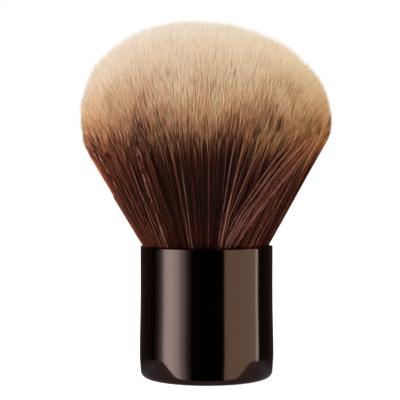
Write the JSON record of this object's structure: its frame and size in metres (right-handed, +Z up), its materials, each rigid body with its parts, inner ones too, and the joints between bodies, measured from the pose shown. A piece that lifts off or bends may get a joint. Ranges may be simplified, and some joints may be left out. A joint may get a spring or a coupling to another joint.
{
  "type": "kabuki makeup brush",
  "caption": "Short round face-powder brush: a dense flared, domed head of two-tone fibres potted in a weighted, lacquered metal handle with a flat foot.",
  "frame": {"origin": "centre of the flat foot, which the brush stands on", "axes": "+Z up the handle's axis to the crown of the head; +X to the right and -Y towards the viewer of the picture"},
  "size_m": [0.0609, 0.0608, 0.0869],
  "materials": {
    "lacquered_shell": "gloss",
    "foam_tape": "matte",
    "steel_slug": "satin",
    "moulded_liner": "satin",
    "ferrule_aluminium": "satin",
    "cast_resin": "gloss",
    "waxed_thread": "matte",
    "two_tone_fibre": "satin"
  },
  "bodies": {
    "root": {"handle_shell": "lacquered_shell", "slug_tape": "foam_tape", "base_weight": "steel_slug", "inner_liner": "moulded_liner", "ferrule_cup": "ferrule_aluminium", "root_resin": "cast_resin", "binding_thread": "waxed_thread", "bristle_core": "two_tone_fibre", "bristle_middle": "two_tone_fibre", "bristle_skirt": "two_tone_fibre"}
  },
  "joints": []
}
